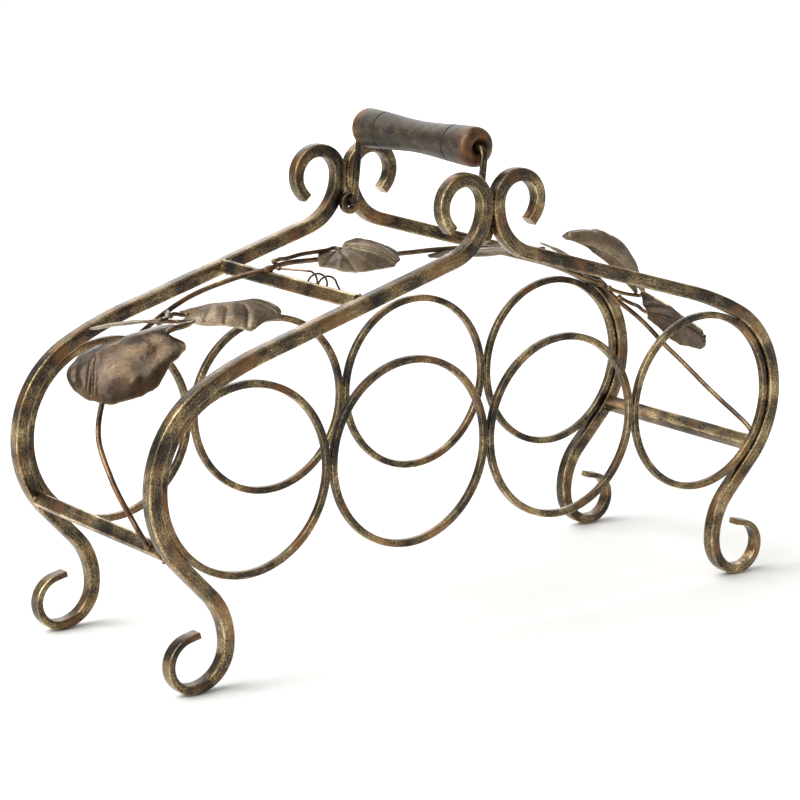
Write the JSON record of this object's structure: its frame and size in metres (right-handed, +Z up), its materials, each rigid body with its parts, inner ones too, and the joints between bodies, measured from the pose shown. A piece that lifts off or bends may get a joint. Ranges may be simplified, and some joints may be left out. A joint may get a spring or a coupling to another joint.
{
  "type": "tabletop wine rack",
  "caption": "Tabletop wine rack of scrolled square bar with facing rows of bottle rings, crossbars, a hinged bail with a turned grip, and a trailing wire vine with hammered leaves.",
  "frame": {"origin": "on the table under the middle of the rack", "axes": "+X along the row of bottle rings, +Y from the front frame to the rear one, along the bottles, +Z up"},
  "size_m": [0.4334, 0.1422, 0.2748],
  "materials": {
    "forged_bar": "dark iron with an antique bronze brushed over the edges",
    "vine_wire": "drawn wire with the same antique bronze finish",
    "leaf_sheet": "hammered sheet, brown bronze with golden edges",
    "grip_wood": "turned wood painted dark bronze"
  },
  "bodies": {
    "rack": {"front_left_leg": "forged_bar", "front_right_leg": "forged_bar", "rear_left_leg": "forged_bar", "rear_right_leg": "forged_bar", "front_ring_1": "forged_bar", "front_ring_2": "forged_bar", "front_ring_3": "forged_bar", "front_ring_4": "forged_bar", "rear_ring_1": "forged_bar", "rear_ring_2": "forged_bar", "rear_ring_3": "forged_bar", "rear_ring_4": "forged_bar", "lower_left_crossbar": "forged_bar", "lower_right_crossbar": "forged_bar", "upper_left_crossbar": "forged_bar", "front_handle_eye": "forged_bar", "rear_handle_eye": "forged_bar", "vine_stem_left": "vine_wire", "vine_stem_top": "vine_wire", "vine_stem_right": "vine_wire", "leaf_left_broad": "leaf_sheet", "leaf_left_slim": "leaf_sheet", "leaf_left_ribbed": "leaf_sheet", "leaf_middle": "leaf_sheet", "leaf_saddle": "leaf_sheet", "leaf_slope": "leaf_sheet", "leaf_right_upper": "leaf_sheet", "leaf_right_lower": "leaf_sheet", "stalk_left_broad": "vine_wire", "stalk_left_slim": "vine_wire", "stalk_left_ribbed": "vine_wire", "stalk_middle": "vine_wire", "stalk_saddle": "vine_wire", "stalk_slope": "vine_wire", "stalk_right_upper": "vine_wire", "stalk_right_lower": "vine_wire", "tendril": "vine_wire"},
    "bail": {"handle_bail": "forged_bar"},
    "grip": {"handle_grip": "grip_wood"}
  },
  "joints": [
    {"name": "bail_swing", "type": "hinge", "parent": "rack", "child": "bail", "pos_m": [0, 0, 0.21971], "axis": [0, 1, 0], "range_deg": [-90, 99]},
    {"name": "grip_spin", "type": "hinge", "parent": "bail", "child": "grip", "pos_m": [0.00425, 0, 0.2638], "axis": [0, 1, 0], "continuous": true}
  ]
}
